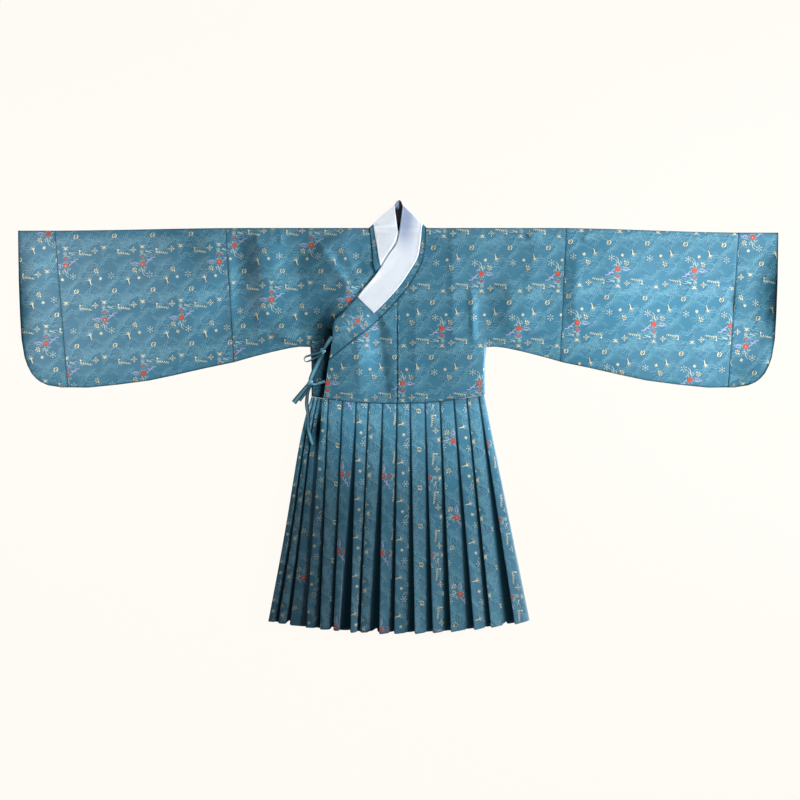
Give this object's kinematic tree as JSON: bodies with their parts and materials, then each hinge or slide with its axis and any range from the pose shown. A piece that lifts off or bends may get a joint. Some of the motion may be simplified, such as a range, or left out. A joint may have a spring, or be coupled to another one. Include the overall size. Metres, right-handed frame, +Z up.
{
  "type": "hanfu robe, cross-collar with a pleated skirt, laid flat",
  "caption": "Long-sleeved cross-collar robe of patterned brocade with a white collar guard, a knife-pleated skirt and side ties, laid flat on its back.",
  "frame": {"origin": "on the surface the robe lies on, under the middle of its bounding box", "axes": "+X along the sleeves towards the wearer's left sleeve, +Y from the hem to the collar, +Z up off the surface, out of the robe's front"},
  "size_m": [2.28, 1.296, 0.021],
  "materials": {
    "brocade": "teal jacquard brocade, silky, tonal ground with small gold and red motifs",
    "pleated_brocade": "the same brocade, pressed into knife pleats",
    "guard": "plain white satin, soft sheen",
    "tie": "narrow folded strips of the brocade"
  },
  "bodies": {
    "root": {"back_left": "brocade", "back_right": "brocade", "front_left": "brocade", "front_right": "brocade", "lapel_outer": "brocade", "lapel_inner": "brocade", "sleeve_left_back": "brocade", "sleeve_left_front": "brocade", "sleeve_right_back": "brocade", "sleeve_right_front": "brocade", "cuff_left_back": "brocade", "cuff_left_front": "brocade", "cuff_right_back": "brocade", "cuff_right_front": "brocade", "collar_outer": "brocade", "collar_inner": "brocade", "collar_back": "brocade", "guard_outer": "guard", "guard_inner": "guard", "guard_back": "guard", "skirt_outer": "pleated_brocade", "skirt_inner": "pleated_brocade", "skirt_back": "pleated_brocade", "tie_upper_root": "tie", "tie_upper_bow": "tie", "tie_upper_end": "tie", "tie_upper_knot": "tie", "tie_lower_root": "tie", "tie_lower_end": "tie", "tie_lower_tail": "tie", "tie_lower_knot": "tie", "tie_long": "tie"}
  },
  "joints": []
}
